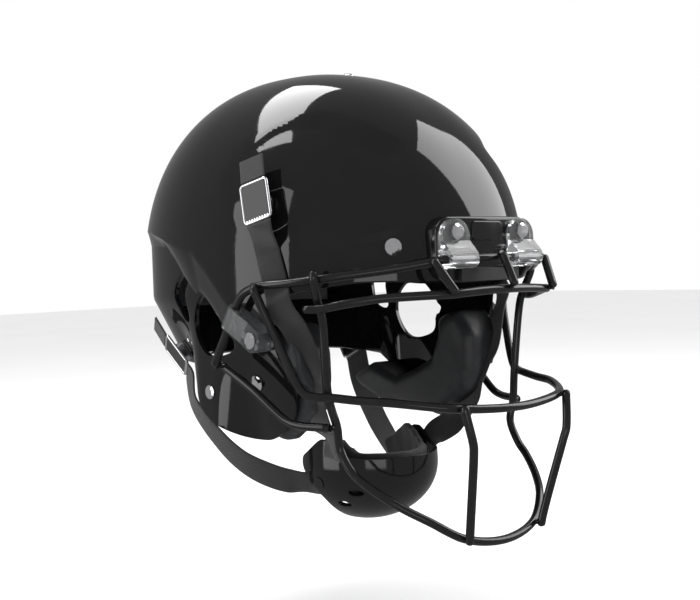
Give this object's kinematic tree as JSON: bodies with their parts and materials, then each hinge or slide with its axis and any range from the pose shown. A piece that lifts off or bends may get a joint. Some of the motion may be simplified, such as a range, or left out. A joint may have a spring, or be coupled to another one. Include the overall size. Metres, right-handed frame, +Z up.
{
  "type": "american football helmet",
  "caption": "Gloss black american football helmet with a wire face mask, clear clips, chrome strap buckles, padded liner and a hard chin cup.",
  "frame": {"origin": "centre of the crown pad's flat inner face, where the top of the head rests", "axes": "+Z up through the crown, -Y the way the wearer faces, +X the wearer's left"},
  "size_m": [0.2524, 0.3335, 0.3267],
  "materials": {
    "shell": "high gloss black",
    "plate": "gloss black",
    "bumper": "satin black",
    "front_clip": "clear gloss",
    "side_clip": "smoky clear gloss",
    "screws": "bright",
    "nuts": "zinc plated",
    "wire": "gloss black coating on steel wire",
    "buckles": "bright frame with a dark plate",
    "webbing": "woven, matte",
    "pads": "dark grey vinyl over foam"
  },
  "bodies": {
    "helmet": {"shell": "shell", "brow_plate": "plate", "brow_bumper": "bumper", "front_clip_right": "front_clip", "front_clip_left": "front_clip", "front_clip_screw_right": "screws", "front_clip_screw_left": "screws", "side_clip_nut_right": "nuts", "side_clip_nut_left": "nuts", "temple_screw_right": "screws", "temple_screw_left": "screws", "jaw_screw_right": "screws", "jaw_screw_left": "screws", "jaw_rivet_right": "shell", "jaw_rivet_left": "shell", "crown_rivet": "screws", "upper_snap_post_right": "plate", "upper_snap_post_left": "plate", "rear_snap_post_right": "plate", "rear_snap_post_left": "plate", "upper_strap_right": "webbing", "upper_strap_left": "webbing", "crown_pad": "pads", "brow_pad": "pads", "side_pad_right": "pads", "side_pad_left": "pads", "rear_pad": "pads", "jaw_pad_right": "pads", "jaw_pad_left": "pads"},
    "face_mask": {"brow_bar": "wire", "eye_bar": "wire", "cage_loop": "wire", "mid_bar": "wire", "brow_tie_centre": "wire", "brow_tie_right": "wire", "brow_tie_left": "wire", "front_upright_right": "wire", "front_upright_left": "wire", "lower_bar_right": "wire", "lower_bar_left": "wire", "side_clip_right": "side_clip", "side_clip_left": "side_clip", "side_clip_screw_right": "screws", "side_clip_screw_left": "screws"},
    "chin_cup_set": {"chin_cup": "plate", "chin_pad": "pads", "chin_rivet_right": "plate", "chin_rivet_left": "plate", "upper_strap_drop_right": "webbing", "upper_strap_drop_left": "webbing", "rear_strap_right": "webbing", "rear_strap_left": "webbing"},
    "upper_right_snap": {"upper_buckle_right": "buckles", "upper_strap_tail_right": "webbing"},
    "upper_left_snap": {"upper_buckle_left": "buckles", "upper_strap_tail_left": "webbing"},
    "rear_right_snap": {"rear_buckle_right": "buckles", "rear_strap_tail_right": "webbing"},
    "rear_left_snap": {"rear_buckle_left": "buckles", "rear_strap_tail_left": "webbing"}
  },
  "joints": [
    {"name": "facemask_swing", "type": "hinge", "parent": "helmet", "child": "face_mask", "pos_m": [0, -0.1721, -0.1114], "axis": [-1, 0, 0], "range_deg": [0, 85]},
    {"name": "chin_cup_lift", "type": "slide", "parent": "helmet", "child": "chin_cup_set", "axis": [0, 0, 1], "range_m": [0, 0.012], "deforming": ["upper_strap_drop_right", "upper_strap_drop_left", "rear_strap_right", "rear_strap_left"]},
    {"name": "upper_right_snap_release", "type": "slide", "parent": "helmet", "child": "upper_right_snap", "axis": [-0.946, -0.2352, 0.2232], "range_m": [0, 0.008]},
    {"name": "upper_left_snap_release", "type": "slide", "parent": "helmet", "child": "upper_left_snap", "axis": [0.946, -0.2352, 0.2232], "range_m": [0, 0.008]},
    {"name": "rear_right_snap_release", "type": "slide", "parent": "helmet", "child": "rear_right_snap", "axis": [-0.8811, 0.223, -0.417], "range_m": [0, 0.008]},
    {"name": "rear_left_snap_release", "type": "slide", "parent": "helmet", "child": "rear_left_snap", "axis": [0.8811, 0.223, -0.417], "range_m": [0, 0.008]}
  ]
}
